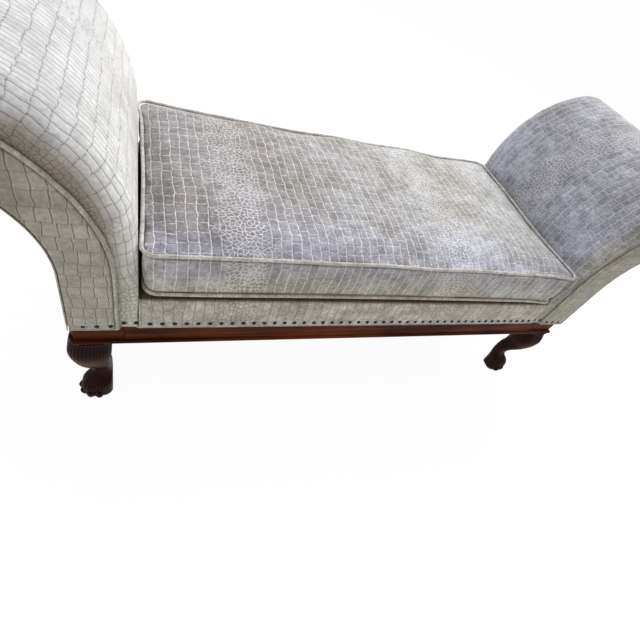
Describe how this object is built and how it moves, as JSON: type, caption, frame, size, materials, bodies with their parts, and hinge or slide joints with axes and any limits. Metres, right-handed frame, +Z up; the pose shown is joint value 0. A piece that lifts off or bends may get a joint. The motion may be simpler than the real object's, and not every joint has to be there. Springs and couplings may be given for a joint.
{
  "type": "bench settee",
  "caption": "Backless upholstered settee with outward-scrolling arms, a loose piped box cushion, a nailed show-wood rail and carved cabriole legs with paw feet, to sit on.",
  "frame": {"origin": "on the floor, under the middle of the bench", "axes": "+X along the seat towards the right arm as seen from the front, -Y to the front, +Z up"},
  "size_m": [1.8458, 0.6124, 0.8015],
  "materials": {
    "velvet": "silver-grey crocodile-embossed velvet",
    "piping": "self-covered piping of the same velvet",
    "show_wood": "polished red-brown mahogany",
    "leg_wood": "carved mahogany, darker in the hollows",
    "frame_wood": "plain beech",
    "webbing": "jute webbing",
    "hessian": "hessian",
    "stuffing": "stuffing under wadding",
    "dust_cloth": "black bottoming cloth",
    "nails": "dark bronzed nailheads",
    "zip_tape": "woven tape",
    "zip_metal": "aged brass"
  },
  "bodies": {
    "bench": {"front_rail": "show_wood", "rear_rail": "show_wood", "left_end_rail": "show_wood", "right_end_rail": "show_wood", "front_bead": "show_wood", "rear_bead": "show_wood", "left_bead": "show_wood", "right_bead": "show_wood", "front_left_leg": "leg_wood", "front_right_leg": "leg_wood", "rear_left_leg": "leg_wood", "rear_right_leg": "leg_wood", "centre_stretcher": "frame_wood", "rail_dowels": "frame_wood", "stump_dowels": "frame_wood", "cross_webbing": "webbing", "long_webbing": "webbing", "seat_hessian": "hessian", "seat_stuffing": "stuffing", "seat_cover": "velvet", "dust_cover": "dust_cloth", "left_arm_stuffing": "stuffing", "left_arm_cover": "velvet", "left_outside_panel": "velvet", "left_arm_hessian": "hessian", "left_roll_rail": "frame_wood", "left_tacking_rails": "frame_wood", "left_front_stump": "frame_wood", "left_front_facing": "velvet", "left_front_arm_piping": "piping", "left_rear_stump": "frame_wood", "left_rear_facing": "velvet", "left_rear_arm_piping": "piping", "right_arm_stuffing": "stuffing", "right_arm_cover": "velvet", "right_outside_panel": "velvet", "right_arm_hessian": "hessian", "right_roll_rail": "frame_wood", "right_tacking_rails": "frame_wood", "right_front_stump": "frame_wood", "right_front_facing": "velvet", "right_front_arm_piping": "piping", "right_rear_stump": "frame_wood", "right_rear_facing": "velvet", "right_rear_arm_piping": "piping", "front_nails": "nails", "rear_nails": "nails", "left_nails": "nails", "right_nails": "nails"},
    "seat_cushion": {"cushion_core": "stuffing", "cushion_top": "velvet", "cushion_base": "velvet", "cushion_border": "velvet", "cushion_top_piping": "piping", "cushion_base_piping": "piping", "zip_tape": "zip_tape"},
    "zip_slider": {"zip_slider": "zip_metal"}
  },
  "joints": [
    {"name": "cushion_lift", "type": "slide", "parent": "bench", "child": "seat_cushion", "axis": [0, 0, 1], "range_m": [0, 0.45]},
    {"name": "zip_slide", "type": "slide", "parent": "seat_cushion", "child": "zip_slider", "axis": [1, 0, 0], "range_m": [-0.842, 0]}
  ]
}
